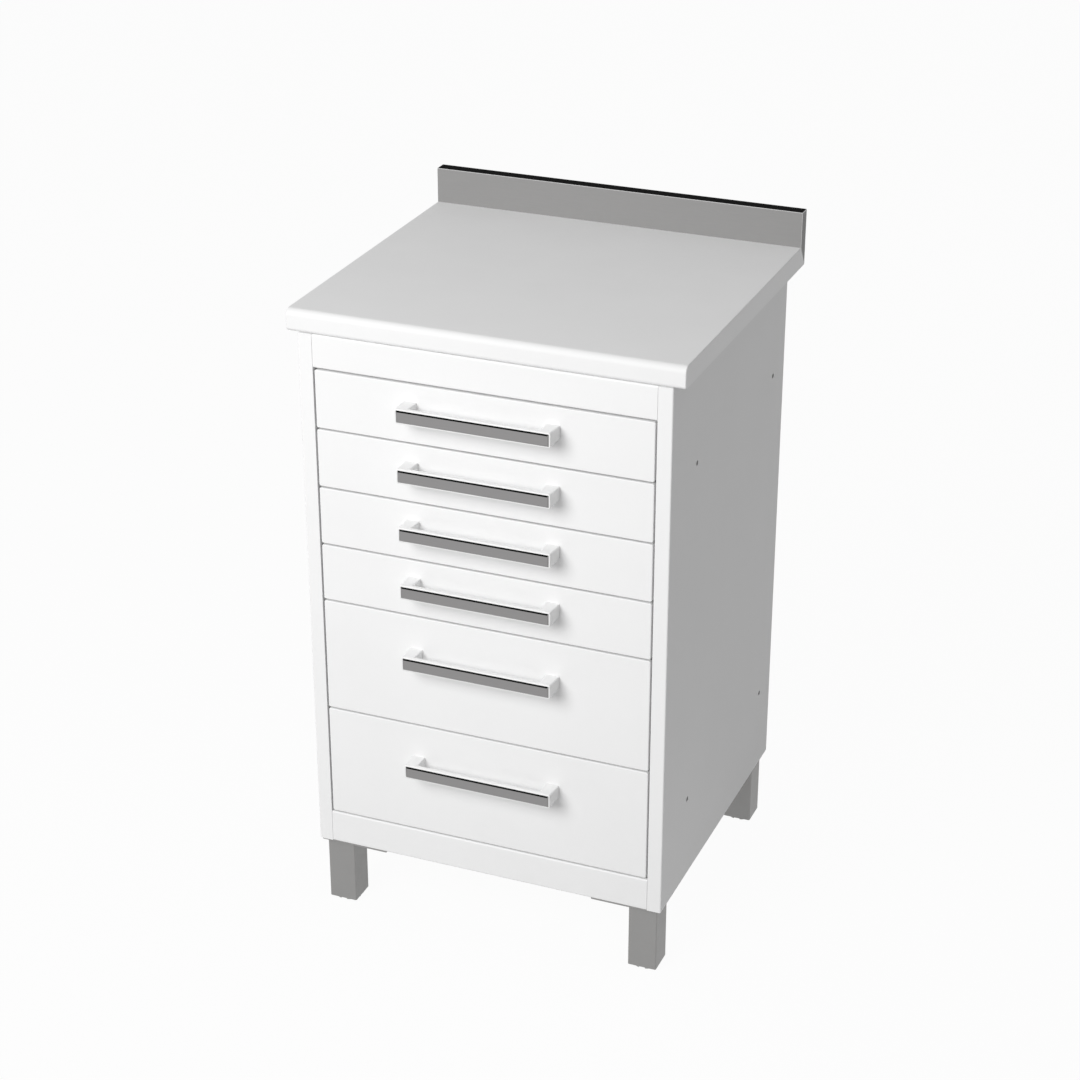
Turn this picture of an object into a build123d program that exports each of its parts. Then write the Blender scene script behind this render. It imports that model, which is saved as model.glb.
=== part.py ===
from build123d import *
import os

# Cabinet for a dental practice: a sheet-steel carcass on four square legs, a worktop with an
# upstand, four shallow and two deep drawers on full-extension runners. Millimetres, +X right,
# drawers open towards -Y, floor at z = 0, origin under the middle of the overall outline.

# Carcass outline and the grid of modules that the drawers fill.
cabinet_width = 500
cabinet_depth = 460
leg_height = 100
bottom_rail_height = 47
top_rail_height = 44.5
front_gap = 2.5
module_height = 81.25
shallow_drawers = 4
deep_drawers = 2
modules_per_deep_drawer = 2

# Worktop and upstand, joined along a mitre.
worktop_overhang = 15
worktop_thickness = 29.2
worktop_nose_radius = 9
worktop_under_radius = 5
worktop_rear_overhang = 4.5
edge_bevel = 1
upstand_thickness = 18.9
upstand_rise = 48.5
upstand_tip = 1

# Sheet metal.
sheet = 1.2
bend_radius = 2.2
seam = 0.4
seat = 0.3
stile_width = 19.6
stile_return = 15
post_sheet = 1.5
post_width = 25
front_post_setback = 24
rear_post_setback = 17
rail_top_flange = 45
rail_bottom_flange = 18
rail_end_flange = 50
floor_flange = 20
back_top_flange = 50
lap_setback = 1
joining_hole_radius = 3.5
joining_hole_spacing = 313
joining_hole_rise = 487
joining_hole_setback = 97
joining_hole_height = 121.5

# Legs and feet.
leg_size = 40
leg_wall = 2
leg_corner_bevel = 1.2
leg_side_inset = 8
leg_front_inset = 8
leg_rear_inset = 4.5
plate_size = 98
plate_thickness = 3
plate_inset = 2
plate_hole_inset = 11
foot_wall_gap = 1
foot_thickness = 8
foot_showing = 2.2
foot_stem_radius = 5
foot_stem_length = 52
foot_notch_width = 9
foot_notch_depth = 2
end_plate_height = 24
end_plate_thickness = 4
thread_play = 0.3
thread_sides = 8

# Screws, drawn with few sides.
screw_sides = 6
screw_radius = 2.5
screw_length = 10
screw_head_radius = 4.5
screw_head_height = 2.6
leg_screw_radius = 3
leg_screw_length = 9
leg_screw_head_radius = 5.5
leg_screw_head_height = 4
leg_screw_sides = 6
screw_play = 0.05
lap_screw_inset = 150

# Drawers.
front_thickness = 18
front_sheet = 1.0
front_corner_bevel = 1.5
front_edge_bevel = 0.8
front_return = 24
box_sheet = 1.0
box_lift = 10
shallow_box_height = 58
deep_box_height = 135
box_rear_setback = 6

# Handles.
handle_projection = 31
handle_width = 208
handle_height = 20
handle_bar_depth = 5
handle_corner_bevel = 1.5
handle_edge_bevel = 0.8
handle_post_width = 16.5
handle_base_width = 18.5
handle_screw_spacing = 192
strip_border = 2
strip_bevel = 1.2
strip_proud = 1.5
strip_recess = 1
strip_play = 0.1
shallow_handle_drop = 32.25
deep_handle_drop = 55.15

# Runners: three members nested in one side gap, with a row of balls above and below each inner one.
runner_gap = 12.7
runner_length = 400
runner_setback = 20
runner_lift = 40
runner_sheet = 1.2
runner_height = 45
cabinet_lip = 9.3
web_clearance = 3.3
lip_clearance = 0.6
middle_tip_clearance = 1.3
outer_ball_space = 4.3
inner_ball_space = 4.8
race_bite = 0.4
race_sides = 6
stop_tab_height = 30
hook_width = 1.5
hook_rise = 4
hook_drop = 5

# Derived positions.
upstand_front = cabinet_depth + worktop_rear_overhang
overall_depth = handle_projection + upstand_front + upstand_thickness
front = handle_projection - overall_depth / 2
rear = front + cabinet_depth
half_cabinet = cabinet_width / 2
stile_edge = half_cabinet - stile_width
post_face = stile_edge - seam
shallow_front_height = module_height - front_gap
deep_front_height = modules_per_deep_drawer * module_height - front_gap
first_front = leg_height + bottom_rail_height + front_gap
module_count = shallow_drawers + modules_per_deep_drawer * deep_drawers
rail_bottom = first_front + module_count * module_height
body_top = rail_bottom + top_rail_height
worktop_top = body_top + worktop_thickness
worktop_width = cabinet_width + 2 * worktop_overhang
back_face = rear - sheet
floor_end = back_face - sheet
front_half_width = stile_edge + seam / 2 - front_gap
box_half_width = post_face - runner_gap
box_front = front + front_thickness
runner_start = front + runner_setback
runner_end = runner_start + runner_length
member_end = runner_end - runner_sheet - seat
box_end = runner_end - box_rear_setback
post_spans = (
    (front + front_post_setback, front + front_post_setback + post_width),
    (runner_end - rear_post_setback - post_width, runner_end - rear_post_setback),
)
post_middles = [(low + high) / 2 for low, high in post_spans]
deep_bottoms = [
    first_front + place * modules_per_deep_drawer * module_height for place in range(deep_drawers)
]
shallow_bottoms = [
    first_front + (place + modules_per_deep_drawer * deep_drawers) * module_height
    for place in range(shallow_drawers)
]
runner_centres = [bottom + runner_lift for bottom in deep_bottoms + shallow_bottoms]

os.makedirs("parts", exist_ok=True)


def save(piece, label):
    piece.part.label = label
    export_step(piece.part, f"parts/{label}.step")


def block(x, y, z, mode=Mode.ADD):
    """A box between two corners, given as a pair of limits along each axis."""
    with Locations([((x[0] + x[1]) / 2, (y[0] + y[1]) / 2, (z[0] + z[1]) / 2)]):
        Box(abs(x[1] - x[0]), abs(y[1] - y[0]), abs(z[1] - z[0]), mode=mode)


def prism(planes, radius, sides, up, down=0, mode=Mode.ADD):
    """A short prism on each plane, reaching up along its normal and down behind it."""
    with BuildSketch(*[plane.offset(-down) for plane in planes]) as outline:
        RegularPolygon(radius, sides)
    extrude(outline.sketch, amount=up + down, mode=mode)


def screw_planes(points, outward):
    """One plane per screw, its normal pointing from the seat towards the head."""
    return [Plane(origin=point, z_dir=outward) for point in points]


def screws(planes):
    """Pan-head screws whose heads stand on the planes."""
    prism(planes, screw_head_radius, screw_sides, screw_head_height)
    prism(planes, screw_radius, screw_sides, 0, screw_length)


def screw_holes(planes, depth):
    """Clearance holes for the screws, this deep on both sides of their seats."""
    prism(planes, screw_radius + screw_play, screw_sides, depth, depth, mode=Mode.SUBTRACT)


def leg_screw_holes(planes):
    """Clearance holes for the leg screws, from below the plate to above the floor sheet."""
    radius = leg_screw_radius + screw_play
    prism(planes, radius, leg_screw_sides, sheet, leg_screw_length, mode=Mode.SUBTRACT)


# Where the carcass screws go.
flange_middle = leg_height + (floor_flange + bend_radius) / 2
rail_screw_heights = (rail_bottom + top_rail_height / 3, body_top - top_rail_height / 3)
side_screws = {
    side: screw_planes(
        [(side * (post_face - sheet), post_middles[0], height) for height in rail_screw_heights]
        + [(side * (post_face - sheet), middle, flange_middle) for middle in post_middles],
        (-side, 0, 0),
    )
    for side in (-1, 1)
}
lap_x = half_cabinet - stile_width / 2
lap_heights = (leg_height + lap_screw_inset, body_top - lap_screw_inset)
lap_screws = screw_planes(
    [(side * lap_x, rear, height) for side in (-1, 1) for height in lap_heights], (0, 1, 0)
)
back_screws = screw_planes(
    [(side * cabinet_width / 4, back_face, flange_middle) for side in (-1, 1)], (0, 1, 0)
)
worktop_screw_rows = (front + rail_top_flange - 2 * screw_head_radius, rear - back_top_flange / 2)
worktop_screws = screw_planes(
    [
        (side * cabinet_width / 3, row, body_top - sheet)
        for row in worktop_screw_rows
        for side in (-1, 1)
    ],
    (0, 0, -1),
)


# Legs: a square tube welded under the outer corner of a plate, with a threaded end plate inside
# its lower end. Three screws hold each plate to the carcass, in the corners the tube leaves free.
plate_bottom = leg_height - plate_thickness
leg_screw_planes = []
for row, inward in (("front", 1), ("rear", -1)):
    carcass_edge = front if row == "front" else rear
    leg_inset = leg_front_inset if row == "front" else leg_rear_inset
    leg_y = carcass_edge + inward * (leg_inset + leg_size / 2)
    plate_y = carcass_edge + inward * (plate_inset + plate_size / 2)
    for side_name, side in (("left", -1), ("right", 1)):
        corner = f"{row}_{side_name}"
        leg_x = side * (half_cabinet - leg_side_inset - leg_size / 2)
        plate_x = side * (half_cabinet - plate_inset - plate_size / 2)
        reach = plate_size / 2 - plate_hole_inset
        free_corners = [
            (plate_x - side * reach, plate_y - inward * reach),
            (plate_x - side * reach, plate_y + inward * reach),
            (plate_x + side * reach, plate_y + inward * reach),
        ]
        planes = screw_planes([(x, y, plate_bottom) for x, y in free_corners], (0, 0, -1))
        leg_screw_planes += planes

        with BuildPart() as leg:
            with BuildSketch(Plane.XY.offset(foot_showing)) as tube:
                with Locations((leg_x, leg_y)):
                    Rectangle(leg_size, leg_size)
                    chamfer(tube.vertices(), leg_corner_bevel)
                    bore = leg_size - 2 * leg_wall
                    Rectangle(bore, bore, mode=Mode.SUBTRACT)
            extrude(amount=plate_bottom - foot_showing)
            with BuildSketch(Plane.XY.offset(end_plate_height)):
                with Locations((leg_x, leg_y)):
                    Rectangle(leg_size - leg_wall, leg_size - leg_wall)
                    RegularPolygon(
                        foot_stem_radius + thread_play, thread_sides, mode=Mode.SUBTRACT
                    )
            extrude(amount=end_plate_thickness)
            with BuildSketch(Plane.XY.offset(plate_bottom)):
                with Locations((plate_x, plate_y)):
                    Rectangle(plate_size, plate_size)
            extrude(amount=plate_thickness)
            leg_screw_holes(planes)
        save(leg, f"{corner}_leg")

        # Levelling foot: a disc with four spanner notches in its rim, on a threaded stem.
        with BuildPart() as foot:
            foot_radius = leg_size / 2 - leg_wall - foot_wall_gap
            with BuildSketch():
                with Locations((leg_x, leg_y)):
                    Circle(foot_radius)
                    with PolarLocations(foot_radius, 4):
                        Rectangle(2 * foot_notch_depth, foot_notch_width, mode=Mode.SUBTRACT)
            extrude(amount=foot_thickness)
            with BuildSketch(Plane.XY.offset(foot_thickness)):
                with Locations((leg_x, leg_y)):
                    RegularPolygon(foot_stem_radius, thread_sides)
            extrude(amount=foot_stem_length)
        save(foot, f"{corner}_foot")

with BuildPart() as leg_screws:
    prism(leg_screw_planes, leg_screw_head_radius, leg_screw_sides, leg_screw_head_height)
    prism(leg_screw_planes, leg_screw_radius, leg_screw_sides, 0, leg_screw_length)
save(leg_screws, "leg_screws")


# Side panels: folded pans, open towards the inside, whose front flanges are the stiles. Two
# channel uprights are welded inside each pan, with slots for the runners' hooks.
inner_height = (leg_height + sheet, body_top - sheet)
for side_name, side in (("left", -1), ("right", 1)):
    outer = side * half_cabinet
    inner = outer - side * sheet
    with BuildPart() as side_panel:
        block((side * stile_edge, outer), (front, rear), (leg_height, body_top))
        outer_face = side_panel.faces().sort_by(Axis.X)[-1 if side > 0 else 0]
        fillet(outer_face.edges(), bend_radius)
        hollow_y = (front + sheet, rear - sheet)
        block((side * stile_edge, inner), hollow_y, inner_height, mode=Mode.SUBTRACT)
        return_x = (side * stile_edge, side * (stile_edge + sheet))
        block(return_x, (front + sheet, front + stile_return), inner_height)
        web = side * (post_face + post_sheet)
        for low, high in post_spans:
            block((side * post_face, inner), (low, high), inner_height)
            channel = (low + post_sheet, high - post_sheet)
            block((web, inner), channel, inner_height, mode=Mode.SUBTRACT)
            for centre in runner_centres:
                block(
                    (side * post_face, web),
                    (
                        (low + high - hook_width) / 2 - seat,
                        (low + high + hook_width) / 2 + seat,
                    ),
                    (centre, centre + hook_rise + hook_drop + seat),
                    mode=Mode.SUBTRACT,
                )
        with BuildSketch(Plane.YZ.offset(outer)):
            with Locations(
                (
                    front + joining_hole_setback + joining_hole_spacing / 2,
                    leg_height + joining_hole_height + joining_hole_rise / 2,
                )
            ):
                with GridLocations(joining_hole_spacing, joining_hole_rise, 2, 2):
                    Circle(joining_hole_radius)
        extrude(amount=-side * 2 * sheet, mode=Mode.SUBTRACT)
        screw_holes(side_screws[side], screw_length)
        screw_holes(lap_screws, 2 * sheet)
        leg_screw_holes(leg_screw_planes)
    save(side_panel, f"{side_name}_side_panel")


# Floor of the carcass: one sheet, folded up at the front into the bottom rail, and up again at
# the back and at both ends, where it is screwed to the back panel and to the uprights.
with BuildPart() as bottom_panel:
    with BuildSketch(Plane.YZ.offset(-post_face)):
        with BuildLine():
            FilletPolyline(
                (front + stile_return, leg_height + bottom_rail_height),
                (front, leg_height + bottom_rail_height),
                (front, leg_height),
                (floor_end, leg_height),
                (floor_end, leg_height + floor_flange),
                radius=bend_radius,
            )
            offset(amount=sheet, side=Side.LEFT)
        make_face()
    extrude(amount=2 * post_face)
    for side in (-1, 1):
        block(
            (side * post_face, side * (post_face - sheet)),
            (front + bend_radius, floor_end - bend_radius),
            (leg_height, leg_height + floor_flange),
        )
        screw_holes(side_screws[side], sheet)
    screw_holes(back_screws, 2 * sheet)
    leg_screw_holes(leg_screw_planes)
save(bottom_panel, "bottom_panel")


# Top front rail: a folded channel with a wide top flange under the worktop and an end flange on
# each front upright.
with BuildPart() as top_front_rail:
    with BuildSketch(Plane.YZ.offset(-post_face)):
        with BuildLine():
            FilletPolyline(
                (front + rail_bottom_flange, rail_bottom),
                (front, rail_bottom),
                (front, body_top),
                (front + rail_top_flange, body_top),
                radius=bend_radius,
            )
            offset(amount=sheet, side=Side.RIGHT)
        make_face()
    extrude(amount=2 * post_face)
    for side in (-1, 1):
        block(
            (side * post_face, side * (post_face - sheet)),
            (front + bend_radius, front + rail_end_flange),
            (rail_bottom, body_top),
        )
        screw_holes(side_screws[side], sheet)
    screw_holes(worktop_screws, sheet)
save(top_front_rail, "top_front_rail")


# Back panel: one sheet with a folded top flange under the worktop. Its edges lap inside the rear
# flanges of the side panels and are screwed to them from behind.
with BuildPart() as back_panel:
    with BuildSketch(Plane.YZ.offset(-post_face)):
        with BuildLine():
            Polyline(
                (back_face - back_top_flange, body_top),
                (back_face, body_top),
                (back_face, leg_height),
            )
            offset(amount=sheet, side=Side.RIGHT, kind=Kind.INTERSECTION)
        make_face()
    extrude(amount=2 * post_face)
    for side in (-1, 1):
        block(
            (side * post_face, side * (half_cabinet - sheet - lap_setback)),
            (floor_end, back_face),
            (inner_height[0] + seat, inner_height[1] - seat),
        )
    screw_holes(lap_screws, 2 * sheet)
    screw_holes(back_screws, 2 * sheet)
    screw_holes(worktop_screws, sheet)
save(back_panel, "back_panel")

with BuildPart() as carcass_screws:
    screws(side_screws[-1] + side_screws[1] + lap_screws + back_screws + worktop_screws)
save(carcass_screws, "carcass_screws")


# Worktop: a board with a rounded front edge, cut to a mitre at the back, screwed on from below.
upstand_face = front + upstand_front
upstand_back = upstand_face + upstand_thickness
with BuildPart() as worktop:
    with BuildSketch(Plane.YZ.offset(-worktop_width / 2)) as worktop_section:
        with BuildLine():
            Polyline(
                (front, body_top),
                (upstand_back, body_top),
                (upstand_face, worktop_top),
                (front, worktop_top),
                close=True,
            )
        make_face()
        front_corners = worktop_section.vertices().group_by(Axis.X)[0].sort_by(Axis.Y)
        fillet(front_corners[-1], worktop_nose_radius)
        front_corners = worktop_section.vertices().group_by(Axis.X)[0].sort_by(Axis.Y)
        fillet(front_corners[0], worktop_under_radius)
    extrude(amount=worktop_width)
    screw_holes(worktop_screws, screw_length)
save(worktop, "worktop")


# Upstand: a metal-faced board along the back of the worktop. Its lower end is cut to the same
# mitre and glued to the worktop, down to a narrow tip behind it.
mitre_run = upstand_thickness * (worktop_thickness - upstand_tip) / worktop_thickness
with BuildPart() as backsplash:
    with BuildSketch(Plane.YZ.offset(-worktop_width / 2)):
        with BuildLine():
            Polyline(
                (upstand_face, worktop_top),
                (upstand_face + mitre_run, body_top + upstand_tip),
                (upstand_back, body_top + upstand_tip),
                (upstand_back, worktop_top + upstand_rise),
                (upstand_face, worktop_top + upstand_rise),
                close=True,
            )
        make_face()
    extrude(amount=worktop_width)
    chamfer(backsplash.faces().sort_by(Axis.Z)[-1].edges(), edge_bevel)
save(backsplash, "backsplash")


# Runner sections, measured from the side of the drawer box towards the upright.
cabinet_tip = post_face - cabinet_lip
middle_web = post_face - runner_sheet - web_clearance
middle_tip = box_half_width + runner_sheet + middle_tip_clearance
drawer_tip = middle_web - runner_sheet - lip_clearance
middle_height = runner_height - 2 * (runner_sheet + outer_ball_space)
drawer_height = middle_height - 2 * (runner_sheet + inner_ball_space)
race_x = (middle_tip + middle_web - runner_sheet) / 2
outer_race_radius = (outer_ball_space - seat + race_bite) / 2
outer_race_rise = middle_height / 2 - race_bite + outer_race_radius
inner_race_radius = (inner_ball_space - seat + race_bite) / 2
inner_race_rise = middle_height / 2 - runner_sheet + race_bite - inner_race_radius


def runner_member(web, tip, height, centre, end, sheet_side):
    """A channel along Y on the right-hand side: its web at web, its lips reaching to tip."""
    with BuildSketch(Plane.XZ.offset(-runner_start)) as section:
        with BuildLine():
            Polyline(
                (tip, centre - height / 2),
                (web, centre - height / 2),
                (web, centre + height / 2),
                (tip, centre + height / 2),
            )
            offset(amount=runner_sheet, side=sheet_side, kind=Kind.INTERSECTION)
        make_face()
    extrude(section.sketch, amount=runner_start - end)


# Cabinet members: hooked into slots of the uprights, with a tab folded in at the back that the
# moving members stop against.
with BuildPart() as cabinet_rails:
    for centre in runner_centres:
        runner_member(post_face, cabinet_tip, runner_height, centre, runner_end, Side.LEFT)
        block(
            (cabinet_tip, post_face),
            (runner_end - runner_sheet, runner_end),
            (centre - stop_tab_height / 2, centre + stop_tab_height / 2),
        )
        for middle in post_middles:
            hook = (middle - hook_width / 2, middle + hook_width / 2)
            tail = post_face + post_sheet + seat
            block((post_face, tail + hook_width), hook, (centre, centre + hook_rise))
            block((tail, tail + hook_width), hook, (centre - hook_drop, centre + hook_rise))
    mirror(about=Plane.YZ)
save(cabinet_rails, "cabinet_rails")


def drawer(number, bottom, front_height, box_height, handle_drop):
    """One drawer, with its handle, its screws and the moving members of its pair of runners."""
    top = bottom + front_height
    centre = bottom + runner_lift
    handle_z = top - handle_drop
    box_bottom = bottom + box_lift
    box_top = box_bottom + box_height

    handle_screws = screw_planes(
        [(side * handle_screw_spacing / 2, front + front_sheet, handle_z) for side in (-1, 1)],
        (0, 1, 0),
    )

    # Front: a pan folded from one sheet, with returns behind its flanges.
    with BuildPart() as drawer_front:
        block((-front_half_width, front_half_width), (front, box_front), (bottom, top))
        chamfer(drawer_front.edges().filter_by(Axis.Y), front_corner_bevel)
        chamfer(drawer_front.faces().sort_by(Axis.Y)[0].edges(), front_edge_bevel)
        inside = front_half_width - front_sheet
        block(
            (-inside, inside),
            (front + front_sheet, box_front - front_sheet),
            (bottom + front_sheet, top - front_sheet),
            mode=Mode.SUBTRACT,
        )
        window = front_half_width - front_return
        block(
            (-window, window),
            (box_front - front_sheet, box_front),
            (bottom + front_return, top - front_return),
            mode=Mode.SUBTRACT,
        )
        screw_holes(handle_screws, 2 * front_sheet)
    save(drawer_front, f"drawer_{number}_front")

    # Box: folded sheet, open at the top, its front wall spot-welded to the returns of the front.
    with BuildPart() as box:
        block((-box_half_width, box_half_width), (box_front, box_end), (box_bottom, box_top))
        offset(amount=-box_sheet, openings=box.faces().sort_by(Axis.Z)[-1])
    save(box, f"drawer_{number}_box")

    # Handle: a bar on two posts that widen towards the drawer front, with a recess in its face.
    bar_face = front - handle_projection + strip_proud
    bar_back = bar_face + handle_bar_depth
    strip_width = handle_width - 2 * strip_border
    strip_height = handle_height - 2 * strip_border
    with BuildPart() as handle:
        handle_z_limits = (handle_z - handle_height / 2, handle_z + handle_height / 2)
        block((-handle_width / 2, handle_width / 2), (bar_face, bar_back), handle_z_limits)
        chamfer(handle.edges().filter_by(Axis.Y), handle_corner_bevel)
        chamfer(handle.faces().sort_by(Axis.Y)[0].edges(), handle_edge_bevel)
        with BuildSketch(Plane.XY.offset(handle_z_limits[0])):
            base = (handle_screw_spacing - handle_base_width) / 2
            with BuildLine():
                Polyline(
                    (handle_width / 2 - handle_post_width, bar_back),
                    (handle_width / 2 - handle_corner_bevel, bar_back),
                    (base + handle_base_width, front),
                    (base, front),
                    close=True,
                )
            make_face()
            mirror(about=Plane.YZ)
        extrude(amount=handle_height)
        with BuildSketch(Plane.XZ.offset(-bar_face)):
            with Locations((0, handle_z)):
                Rectangle(strip_width + 2 * strip_play, strip_height + 2 * strip_play)
        extrude(amount=-strip_recess, mode=Mode.SUBTRACT)
        screw_holes(handle_screws, screw_length + front_sheet)
    save(handle, f"drawer_{number}_handle")

    # Face strip: a bevelled metal bar set into the handle's recess.
    with BuildPart() as strip:
        with BuildSketch(Plane.XZ.offset(-(bar_face + strip_recess))):
            with Locations((0, handle_z)):
                Rectangle(strip_width, strip_height)
        extrude(amount=strip_recess + strip_proud)
        chamfer(strip.faces().sort_by(Axis.Y)[0].edges(), strip_bevel)
    save(strip, f"drawer_{number}_handle_strip")

    with BuildPart() as drawer_screws:
        screws(handle_screws)
    save(drawer_screws, f"drawer_{number}_screws")

    # Drawer members: channels welded to the sides of the box.
    with BuildPart() as drawer_rails:
        runner_member(box_half_width, drawer_tip, drawer_height, centre, member_end, Side.RIGHT)
        mirror(about=Plane.YZ)
    save(drawer_rails, f"drawer_{number}_rails")

    # Middle members: channels with a rounded bead along each row of balls.
    with BuildPart() as middle_rails:
        runner_member(middle_web, middle_tip, middle_height, centre, member_end, Side.LEFT)
        races = (
            (outer_race_rise, outer_race_radius),
            (inner_race_rise, inner_race_radius),
        )
        for rise, radius in races:
            ends = [Plane.XZ.offset(-member_end).shift_origin((race_x, member_end, centre + rise)),
                    Plane.XZ.offset(-member_end).shift_origin((race_x, member_end, centre - rise))]
            prism(ends, radius, race_sides, member_end - runner_start)
        mirror(about=Plane.YZ)
    save(middle_rails, f"drawer_{number}_middle_rails")


number = 0
for bottom in reversed(shallow_bottoms):
    number += 1
    drawer(number, bottom, shallow_front_height, shallow_box_height, shallow_handle_drop)
for bottom in reversed(deep_bottoms):
    number += 1
    drawer(number, bottom, deep_front_height, deep_box_height, deep_handle_drop)
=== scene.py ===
import math

import bmesh
import bpy
import numpy as np
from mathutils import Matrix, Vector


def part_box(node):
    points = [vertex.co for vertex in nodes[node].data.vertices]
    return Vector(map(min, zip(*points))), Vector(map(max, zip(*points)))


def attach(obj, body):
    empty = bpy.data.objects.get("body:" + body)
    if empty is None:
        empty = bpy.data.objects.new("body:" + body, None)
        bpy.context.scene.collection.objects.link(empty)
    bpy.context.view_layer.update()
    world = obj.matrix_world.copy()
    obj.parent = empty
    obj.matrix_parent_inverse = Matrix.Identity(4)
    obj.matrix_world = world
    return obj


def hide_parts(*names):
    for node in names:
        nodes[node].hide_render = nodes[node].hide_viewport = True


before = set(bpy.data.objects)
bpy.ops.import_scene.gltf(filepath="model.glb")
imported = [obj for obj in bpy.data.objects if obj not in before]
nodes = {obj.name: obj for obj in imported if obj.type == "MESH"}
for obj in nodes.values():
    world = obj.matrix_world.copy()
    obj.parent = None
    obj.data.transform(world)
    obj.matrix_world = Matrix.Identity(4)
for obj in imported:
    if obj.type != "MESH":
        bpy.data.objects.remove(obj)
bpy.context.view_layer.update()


# ---- Carcass -----------------------------------------------------------------------------------
# Two folded side panels, the floor with its front rail, the top rail and the back panel: sheet
# steel with a satin white powder coat, screwed together through their flanges.

class Value:
    """A socket whose +, * and > add Math nodes, so that shader maths reads as an expression."""

    def __init__(self, shader, socket):
        self.shader = shader
        self.socket = socket

    def math(self, operation, first, second):
        return self.shader.node("ShaderNodeMath", {"operation": operation}, {0: first, 1: second})

    def __add__(self, other):
        return self.math("ADD", self, other)

    def __radd__(self, other):
        return self.math("ADD", other, self)

    def __mul__(self, other):
        return self.math("MULTIPLY", self, other)

    def __rmul__(self, other):
        return self.math("MULTIPLY", other, self)

    def __gt__(self, other):
        return self.math("GREATER_THAN", self, other)


class Finish:
    """A material whose nodes all come from node()."""

    def __init__(self, name):
        self.material = bpy.data.materials.new(name)
        self.material.use_nodes = True
        self.tree = self.material.node_tree
        self.tree.nodes.clear()

    def node(self, kind, settings=None, values=None, output=0):
        """One node: its settings are set first, then its sockets get their values or links."""
        made = self.tree.nodes.new(kind)
        for name, value in (settings or {}).items():
            setattr(made, name, value)
        for key, value in (values or {}).items():
            if isinstance(value, Value):
                self.tree.links.new(value.socket, made.inputs[key])
            else:
                made.inputs[key].default_value = value
        return Value(self, made.outputs[output]) if made.outputs else None

    def place(self, stretch=(1, 1, 1)):
        """Object coordinates in metres, stretched along each axis."""
        where = self.node("ShaderNodeTexCoord", output="Object")
        return self.node("ShaderNodeVectorMath", {"operation": "MULTIPLY"}, {0: where, 1: stretch})

    def noise(self, scale, stretch=(1, 1, 1), detail=3.0):
        """Noise between 0 and 1 with this many cells to the metre."""
        return self.node(
            "ShaderNodeTexNoise",
            values={"Vector": self.place(stretch), "Scale": scale, "Detail": detail},
        )

    def blend(self, share, first, second):
        """From the first colour at 0 to the second at 1."""
        return self.node(
            "ShaderNodeMix",
            {"data_type": "RGBA"},
            {"Factor": share, "A": (*first, 1), "B": (*second, 1)},
            output=2,
        )

    def bump(self, height, strength, distance):
        return self.node(
            "ShaderNodeBump", values={"Height": height, "Strength": strength, "Distance": distance}
        )

    def surface(self, **values):
        """The finished surface, with sockets named by words joined with an underscore."""
        named = {key.replace("_", " "): value for key, value in values.items()}
        shader = self.node("ShaderNodeBsdfPrincipled", values=named)
        self.node("ShaderNodeOutputMaterial", values={"Surface": shader})
        return self.material


def powder_coat(name, light, shaded):
    """Satin powder coat: a faint cloudiness in the colour and the fine relief of sprayed paint."""
    coat = Finish(name)
    clouds = coat.noise(9)
    relief = coat.noise(1400, detail=2.0)
    return coat.surface(
        Base_Color=coat.blend(clouds, light, shaded),
        Roughness=0.4 + 0.1 * coat.noise(60),
        Normal=coat.bump(relief, 0.12, 0.0002),
        Specular_IOR_Level=0.35,
    )


def wear(material, *names):
    """Gives these CAD nodes this finish."""
    for name in names:
        nodes[name].data.materials.clear()
        nodes[name].data.materials.append(material)


white_coat = powder_coat("white powder coat", (0.86, 0.86, 0.86), (0.83, 0.83, 0.83))
wear(
    white_coat,
    "left_side_panel",
    "right_side_panel",
    "bottom_panel",
    "top_front_rail",
    "back_panel",
)


# ---- Carcass screws and runners ----------------------------------------------------------------
# Pan-head screws, and the runners' three members: steel, zinc-plated, so bright and slightly
# mottled. The screws hold the panels and the worktop, the runners hook into the uprights.

zinc = Finish("zinc plating")
spangle = zinc.noise(220, detail=4.0)
zinc_plating = zinc.surface(
    Base_Color=zinc.blend(spangle, (0.52, 0.53, 0.55), (0.64, 0.65, 0.66)),
    Metallic=1.0,
    Roughness=0.28 + 0.16 * zinc.noise(500),
    Normal=zinc.bump(zinc.noise(900), 0.08, 0.0001),
)
drawer_numbers = range(1, 7)
wear(zinc_plating, "carcass_screws", "leg_screws", "cabinet_rails")
for number in drawer_numbers:
    wear(
        zinc_plating,
        f"drawer_{number}_screws",
        f"drawer_{number}_rails",
        f"drawer_{number}_middle_rails",
    )


# ---- Worktop -----------------------------------------------------------------------------------
# A board with a white laminate that is formed round its front edge, and with white edging at its
# ends. It is screwed on from below and cut to a mitre at the back.

def drawn_in(outline, inset):
    """A clockwise outline moved inwards: each point goes along the mitre of its two edges' normals,
    by the inset over the cosine of half the turn between them."""
    before = outline - np.roll(outline, 1, axis=0)
    after = np.roll(outline, -1, axis=0) - outline
    normals = [
        np.stack([run[:, 1], -run[:, 0]], 1) / np.linalg.norm(run, axis=1)[:, None]
        for run in (before, after)
    ]
    both = normals[0] + normals[1]
    cosine = 1 + (normals[0] * normals[1]).sum(1, keepdims=True)
    return outline + inset * both / cosine


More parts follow.
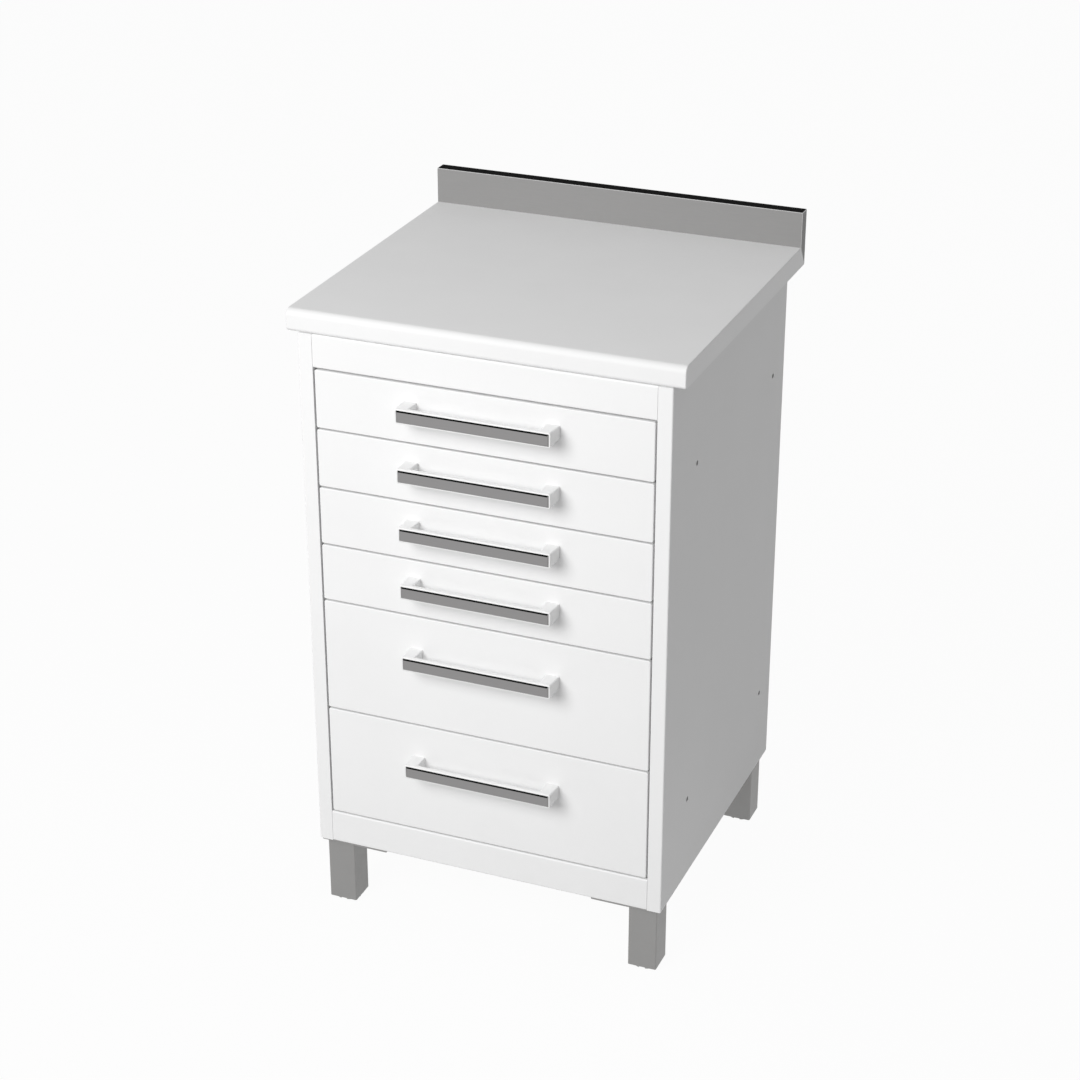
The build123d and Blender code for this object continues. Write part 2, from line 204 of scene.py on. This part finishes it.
def skin(name, shells, finish, bands=()):
    """Closed surfaces over grids of points: each point is joined to the next one of its ring and to
    its like in the next ring, and a flat face closes the first ring and the last. A band's finish
    goes on the faces whose normals have more than its cosine with its direction."""
    corners = []
    faces = []
    for rings in shells:
        count, points = rings.shape[:2]
        grid = np.arange(count * points).reshape(count, points) + sum(map(len, corners))
        onward = np.roll(grid, -1, axis=1)
        sides = np.stack([grid[:-1], onward[:-1], onward[1:], grid[1:]], -1)
        faces += sides.reshape(-1, 4).tolist() + [grid[0, ::-1].tolist(), grid[-1].tolist()]
        corners.append(rings.reshape(-1, 3))
    mesh = bpy.data.meshes.new(name)
    mesh.from_pydata(np.concatenate(corners).tolist(), [], faces)
    shape = bmesh.new()
    shape.from_mesh(mesh)
    bmesh.ops.recalc_face_normals(shape, faces=shape.faces)
    shape.to_mesh(mesh)
    shape.free()
    mesh.polygons.foreach_set("use_smooth", np.ones(len(mesh.polygons), bool))
    mesh.set_sharp_from_angle(angle=math.radians(30))
    mesh.materials.append(finish)
    normals = np.empty(len(mesh.polygons) * 3)
    mesh.polygons.foreach_get("normal", normals)
    choice = np.zeros(len(mesh.polygons), np.int32)
    for place, (band_finish, direction, cosine) in enumerate(bands, 1):
        mesh.materials.append(band_finish)
        choice[normals.reshape(-1, 3) @ direction > cosine] = place
    mesh.polygons.foreach_set("material_index", choice)
    made = bpy.data.objects.new(name, mesh)
    bpy.context.collection.objects.link(made)
    flats = made.modifiers.new("keep the flats flat", "WEIGHTED_NORMAL")
    flats.keep_sharp = True
    return made


def stands_for(made, node, body):
    """The piece takes the CAD node's place, on that node's body."""
    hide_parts(node)
    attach(made, body)


laminate = Finish("white laminate")
worktop_laminate = laminate.surface(
    Base_Color=laminate.blend(laminate.noise(14), (0.84, 0.84, 0.84), (0.81, 0.81, 0.81)),
    Roughness=0.58 + 0.08 * laminate.noise(130),
    Normal=laminate.bump(laminate.noise(2600, detail=2.0), 0.1, 0.0001),
    Specular_IOR_Level=0.2,
)


def arc(centre, radius, start, end, steps=12):
    """Points on a circle: the centre plus the radius times the cosine and sine of each angle."""
    angle = np.radians(np.linspace(start, end, steps + 1))[:, None]
    return centre + radius * np.concatenate([np.cos(angle), np.sin(angle)], 1)


def carried(outline, half_length, edge):
    """The outline in Y and Z carried along X, and drawn in towards each end over a bevel."""
    ends = np.array([[edge, half_length], [0, half_length - edge]])
    stations = [(inset, -x) for inset, x in ends] + [(inset, x) for inset, x in ends[::-1]]
    rings = [
        np.concatenate([np.full((len(outline), 1), x), drawn_in(outline, inset)], 1)
        for inset, x in stations
    ]
    return np.stack(rings)


low, high = map(np.array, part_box("worktop"))
upstand_low, upstand_high = map(np.array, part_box("backsplash"))
nose_radius = 0.009
under_radius = 0.005
board_edge = 0.0008
worktop_outline = np.concatenate(
    [
        arc(low[1:] + under_radius, under_radius, 270, 180),
        arc(np.array([low[1] + nose_radius, high[2] - nose_radius]), nose_radius, 180, 90),
        [[upstand_low[1], high[2]], [high[1], low[2]]],
    ]
)
edging = Finish("white edging")
worktop_edging = edging.surface(
    Base_Color=edging.blend(edging.noise(20), (0.93, 0.93, 0.93), (0.9, 0.9, 0.9)),
    Roughness=0.42 + 0.08 * edging.noise(150),
    Normal=edging.bump(edging.noise(2200, detail=2.0), 0.06, 0.0001),
)
right = np.array([1, 0, 0])
front = np.array([0, -1, 0])
up = np.array([0, 0, 1])
square_on = 0.9
board = skin(
    "worktop_board",
    [carried(worktop_outline, high[0], board_edge)],
    worktop_laminate,
    [(worktop_edging, right, square_on), (worktop_edging, -right, square_on)],
)
stands_for(board, "worktop", "carcass")


# ---- Upstand -----------------------------------------------------------------------------------
# A board faced with brushed steel, glued to the worktop along the mitre. Its end faces are a darker
# copy of the facing, a painted shade; its bevelled edges a paler copy, a painted highlight; and its
# top is painted black, a painted dark reflection.

def brushed_steel(name, pale, dark, along, metallic):
    """Brushed steel under clear lacquer: fine hair lines that run along one axis."""
    steel = Finish(name)
    hair = steel.noise(1600, stretch=along, detail=2.0)
    return steel.surface(
        Base_Color=steel.blend(hair, pale, dark),
        Metallic=metallic,
        Roughness=0.32 + 0.12 * hair,
        Normal=steel.bump(hair, 0.05, 0.0001),
        Specular_IOR_Level=0.12,
    )


upstand_steel = brushed_steel(
    "brushed steel facing", (0.315, 0.311, 0.309), (0.29, 0.287, 0.284), (0.02, 1, 1), 0.1
)
# A darker copy of the facing for the two end faces: painted shade, where the ends catch less light.
upstand_end_painted_shade = brushed_steel(
    "upstand end painted shade", (0.21, 0.208, 0.206), (0.195, 0.193, 0.191), (1, 1, 0.02), 0.1
)
# A paler, more metallic copy of the facing for the bevels: a painted highlight along the edges.
painted_highlight_bevel = brushed_steel(
    "painted highlight bevel", (0.6, 0.6, 0.6), (0.55, 0.55, 0.55), (0.02, 1, 1), 0.6
)
# Near-black for faces that look upwards: a painted dark reflection on the tops of the metal trims.
band = Finish("painted black reflection")
painted_black_reflection = band.surface(
    Base_Color=band.blend(band.noise(300), (0.002, 0.002, 0.002), (0.004, 0.004, 0.004)),
    Roughness=0.7 + 0.1 * band.noise(700),
    Specular_IOR_Level=0.02,
)
upstand_bevel = 0.0006
bevelled = 0.4
tip = upstand_low[2] - low[2]
worktop_rise = high[2] - low[2]
mitre_end = upstand_low[1] + (high[1] - upstand_low[1]) * (1 - tip / worktop_rise)
upstand_outline = np.array(
    [
        [upstand_low[1], high[2]],
        [upstand_low[1], upstand_high[2] - upstand_bevel],
        [upstand_low[1] + upstand_bevel, upstand_high[2]],
        [upstand_high[1], upstand_high[2]],
        [upstand_high[1], upstand_low[2]],
        [mitre_end, upstand_low[2]],
    ]
)
upstand = skin(
    "upstand",
    [carried(upstand_outline, upstand_high[0], upstand_bevel)],
    upstand_steel,
    [
        # The ends get the painted shade, the bevels the painted highlight, the top the painted
        # black reflection.
        (upstand_end_painted_shade, right, square_on),
        (upstand_end_painted_shade, -right, square_on),
        (painted_highlight_bevel, (front + right) / math.sqrt(2), square_on),
        (painted_highlight_bevel, (front - right) / math.sqrt(2), square_on),
        (painted_highlight_bevel, up, bevelled),
        (painted_black_reflection, up, square_on),
    ],
)
stands_for(upstand, "backsplash", "carcass")


# ---- Legs and feet -----------------------------------------------------------------------------
# Square steel tubes welded to square plates, with a silver-grey metallic coat. Each stands on a
# grey moulded foot, whose threaded stem turns in a plate inside the tube.

def soft_box(centre, half, radius, stations, axes, steps=6, least_bend=0.0003):
    """Rings of a rounded rectangle carried along an axis. A corner's points are its centre plus its
    radius times the cosine and sine of a quarter turn. Each station gives how far its ring lies
    inside the outline, and its place along the axis."""
    turn = np.linspace(0, np.pi / 2, steps + 1)
    angle = (np.arange(4)[:, None] * np.pi / 2 + turn).ravel()
    across = np.repeat([1, -1, -1, 1], steps + 1)
    upward = np.repeat([1, 1, -1, -1], steps + 1)
    inset, along = np.array(stations, float).T[:, :, None]
    bend = np.maximum(radius - inset, least_bend)
    rings = np.empty((len(stations), angle.size, 3))
    rings[..., axes[0]] = centre[0] + across * (half[0] - inset - bend) + bend * np.cos(angle)
    rings[..., axes[1]] = centre[1] + upward * (half[1] - inset - bend) + bend * np.sin(angle)
    rings[..., axes[2]] = along
    return rings


silver = Finish("silver-grey coat")
leg_coat = silver.surface(
    Base_Color=silver.blend(silver.noise(30), (0.31, 0.307, 0.303), (0.29, 0.287, 0.283)),
    Metallic=0.75,
    Roughness=0.42 + 0.1 * silver.noise(90),
    Normal=silver.bump(silver.noise(1500, detail=2.0), 0.08, 0.0002),
)
moulding = Finish("grey moulding")
grey_moulding = moulding.surface(
    Base_Color=moulding.blend(moulding.noise(40), (0.44, 0.44, 0.43), (0.4, 0.4, 0.39)),
    Roughness=0.5 + 0.1 * moulding.noise(300),
    Normal=moulding.bump(moulding.noise(2000), 0.1, 0.0001),
)
tube_half = 0.02
tube_wall = 0.002
tube_radius = 0.002
plate_thickness = 0.003
end_plate_height = 0.024
edge = 0.0004
flange_radius = 0.0196
flange_gap = 0.0002
notch_half = 0.0045
notch_depth = 0.003
foot_radius = 0.017
foot_height = 0.008
stem_radius = 0.0046
thread_pitch = 0.00125
thread_depth = 0.0003


def notched(centre, radius, height):
    """A circle with a flat-bottomed notch on each side: in each quarter an arc runs from one
    notch's mouth to the next, then the notch goes in, across and out again."""
    mouth = math.degrees(math.asin(notch_half / radius))
    floor_at = flange_radius - notch_depth
    quarter = arc(np.zeros(2), radius, mouth, 90 - mouth, 10)
    quarter = np.concatenate([quarter, [[notch_half, floor_at], [-notch_half, floor_at]]])
    turned = [quarter, quarter[:, ::-1] * [-1, 1], -quarter, quarter[:, ::-1] * [1, -1]]
    flat = np.concatenate(turned) + centre
    return np.concatenate([flat, np.full((len(flat), 1), height)], 1)


def threaded(centre, bottom, top, points=20, to_a_turn=6):
    """A screw thread: the radius is the stem's, plus the depth times the cosine of the turns made
    up to that height less the angle round the stem."""
    heights = np.linspace(bottom, top, round((top - bottom) / thread_pitch * to_a_turn))[:, None]
    angle = np.linspace(0, 2 * np.pi, points, endpoint=False)[None]
    radius = stem_radius + thread_depth * np.cos(2 * np.pi * heights / thread_pitch - angle)
    return np.stack(
        [
            centre[0] + radius * np.cos(angle),
            centre[1] + radius * np.sin(angle),
            np.broadcast_to(heights, radius.shape),
        ],
        -1,
    )


for row in ("front", "rear"):
    for side in ("left", "right"):
        leg_low, leg_high = map(np.array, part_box(f"{row}_{side}_leg"))
        foot_low, foot_high = map(np.array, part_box(f"{row}_{side}_foot"))
        tube_centre = (foot_low + foot_high)[:2] / 2
        plate_bottom = leg_high[2] - plate_thickness
        tube = soft_box(
            tube_centre,
            (tube_half, tube_half),
            tube_radius,
            [
                (tube_wall, end_plate_height),
                (tube_wall, leg_low[2] + edge),
                (tube_wall - edge, leg_low[2]),
                (edge, leg_low[2]),
                (0, leg_low[2] + edge),
                (0, plate_bottom),
            ],
            (0, 1, 2),
        )
        plate = soft_box(
            (leg_low + leg_high)[:2] / 2,
            (leg_high - leg_low)[:2] / 2,
            tube_radius,
            [
                (edge, plate_bottom),
                (0, plate_bottom + edge),
                (0, leg_high[2] - edge),
                (edge, leg_high[2]),
            ],
            (0, 1, 2),
        )
        leg = skin(f"{row}_{side}_leg_tube", [tube, plate], leg_coat)
        stands_for(leg, f"{row}_{side}_leg", "carcass")
        flange_top = leg_low[2] - flange_gap
        flange = [
            notched(tube_centre, radius, height)
            for radius, height in (
                (flange_radius - edge, 0),
                (flange_radius, edge),
                (flange_radius, flange_top - edge),
                (flange_radius - edge, flange_top),
            )
        ]
        neck = soft_box(
            tube_centre,
            (foot_radius, foot_radius),
            foot_radius,
            [(0, flange_top - edge), (0, foot_height - edge), (edge, foot_height)],
            (0, 1, 2),
        )
        stem = threaded(tube_centre, foot_height - edge, foot_high[2])
        foot = skin(f"{row}_{side}_foot_moulding", [np.stack(flange), neck, stem], grey_moulding)
        stands_for(foot, f"{row}_{side}_foot", f"{row}_{side}_foot")


# ---- Drawers -----------------------------------------------------------------------------------
# Each drawer is a folded front pan with the same powder coat as the carcass, and a folded box
# behind it in a slightly greyer coat, spot-welded to the pan's returns.

def rounded_edge(radius, start, forward, steps=5):
    """Stations round an edge: the inset falls as the radius times one minus the sine of a quarter
    turn, while the place runs on by the radius times one minus its cosine."""
    turn = np.linspace(0, np.pi / 2, steps + 1)
    places = start + forward * radius * (1 - np.cos(turn))
    return list(zip(radius * (1 - np.sin(turn)), places))


front_sheet = 0.001
front_return = 0.024
front_radius = 0.0025
front_edge = 0.0013
box_coat = powder_coat("pale box coat", (0.78, 0.78, 0.78), (0.74, 0.74, 0.74))
for number in drawer_numbers:
    front_low, front_high = map(np.array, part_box(f"drawer_{number}_front"))
    face_y, back_y = front_low[1], front_high[1]
    pan = soft_box(
        (front_low + front_high)[[0, 2]] / 2,
        (front_high - front_low)[[0, 2]] / 2,
        front_radius,
        [
            *rounded_edge(front_edge, face_y, 1),
            *rounded_edge(front_sheet, back_y, -1)[::-1],
            (front_return, back_y),
            (front_return, back_y - front_sheet),
            (front_sheet, back_y - front_sheet),
            (front_sheet, face_y + front_sheet),
        ],
        (0, 2, 1),
    )
    stands_for(
        skin(f"drawer_{number}_front_pan", [pan], white_coat),
        f"drawer_{number}_front",
        f"drawer_{number}",
    )
    wear(box_coat, f"drawer_{number}_box")


# ---- Handles -----------------------------------------------------------------------------------
# A moulded white frame on two posts, screwed on from inside the front, with a dark polished strip
# set into its face. The strip's upper bevel is painted black, a painted dark reflection.

def post(base, end, steps=6):
    """Rings of a rounded rectangle that changes evenly from the base to the end. Both give the
    middle, the half width, the half height, the corner radius and the place along Y."""
    shares = np.linspace(0, 1, steps + 1)
    sections = np.array(base) + shares[:, None] * (np.array(end) - base)
    rings = [
        soft_box((x, z), (wide, tall), radius, [(0, y)], (0, 2, 1))
        for x, z, wide, tall, radius, y in sections
    ]
    return np.concatenate(rings)


frame_paint = Finish("white handle frame")
handle_white = frame_paint.surface(
    Base_Color=frame_paint.blend(frame_paint.noise(30), (0.84, 0.84, 0.84), (0.82, 0.82, 0.82)),
    Roughness=0.32 + 0.06 * frame_paint.noise(200),
    Normal=frame_paint.bump(frame_paint.noise(1800, detail=2.0), 0.06, 0.0001),
)
strip_steel = brushed_steel(
    "polished strip", (0.292, 0.287, 0.287), (0.272, 0.268, 0.268), (0.02, 1, 1), 1.0
)
bar_depth = 0.005
bar_radius = 0.0025
bar_edge = 0.001
rim = 0.0019
recess = 0.001
strip_play = 0.0001
post_middle = 0.096
post_base = (0.00925, 0.009, 0.0015)
post_end_half = 0.00825
strip_radius = 0.0008
strip_bevel = 0.0017
for number in drawer_numbers:
    handle_low, handle_high = map(np.array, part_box(f"drawer_{number}_handle"))
    strip_low, strip_high = map(np.array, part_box(f"drawer_{number}_handle_strip"))
    middle = (handle_low + handle_high) / 2
    half = (handle_high - handle_low) / 2
    bar_face = handle_low[1]
    bar_back = bar_face + bar_depth
    bar_half = (strip_high[0] + rim + strip_play, half[2])
    shells = [
        soft_box(
            (0, middle[2]),
            bar_half,
            bar_radius,
            [
                (0, bar_back),
                *rounded_edge(bar_edge, bar_face, 1)[::-1],
                (rim, bar_face),
                (rim, bar_face + recess),
            ],
            (0, 2, 1),
        )
    ]
    for side in (-1, 1):
        end_middle = side * (bar_half[0] - post_end_half)
        base = (side * post_middle, middle[2], *post_base, handle_high[1])
        end = (end_middle, middle[2], post_end_half, half[2], bar_radius, bar_back)
        shells.append(post(base, end))
    stands_for(
        skin(f"drawer_{number}_handle_frame", shells, handle_white),
        f"drawer_{number}_handle",
        f"drawer_{number}",
    )
    strip_half = (strip_high - strip_low)[[0, 2]] / 2
    strip = soft_box(
        (0, middle[2]),
        strip_half,
        strip_radius,
        [
            (0, strip_high[1]),
            (0, strip_low[1] + strip_bevel),
            (strip_bevel, strip_low[1]),
        ],
        (0, 2, 1),
    )
    # The strip's upper bevel gets the painted black, a painted dark reflection.
    stands_for(
        skin(f"drawer_{number}_face_strip", [strip], strip_steel, [(painted_black_reflection, up, bevelled)]),
        f"drawer_{number}_handle_strip",
        f"drawer_{number}",
    )


# ---- Floor, light and camera -------------------------------------------------------------------
# A plain pale floor, an even surround and one broad soft lamp at the front left. The floor and the
# surround look white to the camera and in reflections.

def seen_directly(tree):
    """1 for what the camera, a mirror or glass sees, and 0 for light that falls on the object."""
    path = tree.node("ShaderNodeLightPath")
    outputs = path.socket.node.outputs
    camera = Value(tree, outputs["Is Camera Ray"])
    glossy = Value(tree, outputs["Is Glossy Ray"])
    passing = Value(tree, outputs["Is Transmission Ray"])
    return (camera + glossy + passing) > 0.5


floor_half = 12.0
floor_mesh = bpy.data.meshes.new("floor")
corners_at = np.array([[-1, -1, 0], [1, -1, 0], [1, 1, 0], [-1, 1, 0]]) * floor_half
floor_mesh.from_pydata(corners_at.tolist(), [], [[0, 1, 2, 3]])
floor = bpy.data.objects.new("floor", floor_mesh)
bpy.context.collection.objects.link(floor)
paper = Finish("white floor")
white_share = 0.96
plain = paper.node("ShaderNodeBsdfDiffuse", values={"Color": (0.58, 0.58, 0.58, 1)})
bright = paper.node("ShaderNodeEmission", values={"Color": (1, 1, 1, 1), "Strength": 1.0})
mixed = paper.node(
    "ShaderNodeMixShader", values={0: white_share * seen_directly(paper), 1: plain, 2: bright}
)
paper.node("ShaderNodeOutputMaterial", values={"Surface": mixed})
floor_mesh.materials.append(paper.material)

world = bpy.data.worlds.new("surround")
bpy.context.scene.world = world
world.use_nodes = True


class Surround(Finish):
    """The world's nodes, made in the same way as a material's."""

    def __init__(self, owner):
        self.tree = owner.node_tree
        self.tree.nodes.clear()


around = Surround(world)
sky_level = 0.38
level = sky_level + (1 - sky_level) * seen_directly(around)
sky = around.node("ShaderNodeBackground", values={"Color": (1, 1, 1, 1), "Strength": level})
around.node("ShaderNodeOutputWorld", values={"Surface": sky})

lamp_place = np.array([-0.9, -2.91, 2.3])
lamp_aim = np.array([0, -0.1, 0.5])
beam = lamp_place - lamp_aim
lamp_data = bpy.data.lights.new("soft light", "AREA")
lamp_data.shape = "DISK"
lamp_data.size = 2.2
lamp_data.energy = 92
lamp = bpy.data.objects.new("soft light", lamp_data)
lamp.location = lamp_place
lamp.rotation_euler = (
    math.acos(beam[2] / np.linalg.norm(beam)),
    0,
    math.atan2(beam[0], -beam[1]),
)
bpy.context.collection.objects.link(lamp)

azimuth = math.radians(22.084)
elevation = math.radians(26.557)
distance = 3.47387
aim = np.array([-0.0192, 0.0238, 0.41827])
back = np.array(
    [
        math.sin(azimuth) * math.cos(elevation),
        -math.cos(azimuth) * math.cos(elevation),
        math.sin(elevation),
    ]
)
camera_data = bpy.data.cameras.new("camera")
camera_data.sensor_width = 36
camera_data.lens = 83.945
camera_data.shift_x = -0.00256
camera_data.shift_y = 0.0413
camera = bpy.data.objects.new("camera", camera_data)
camera.location = aim + distance * back
camera.rotation_euler = (math.pi / 2 - elevation, 0, azimuth)
bpy.context.collection.objects.link(camera)
bpy.context.scene.camera = camera
bpy.context.scene.view_settings.view_transform = "Standard"
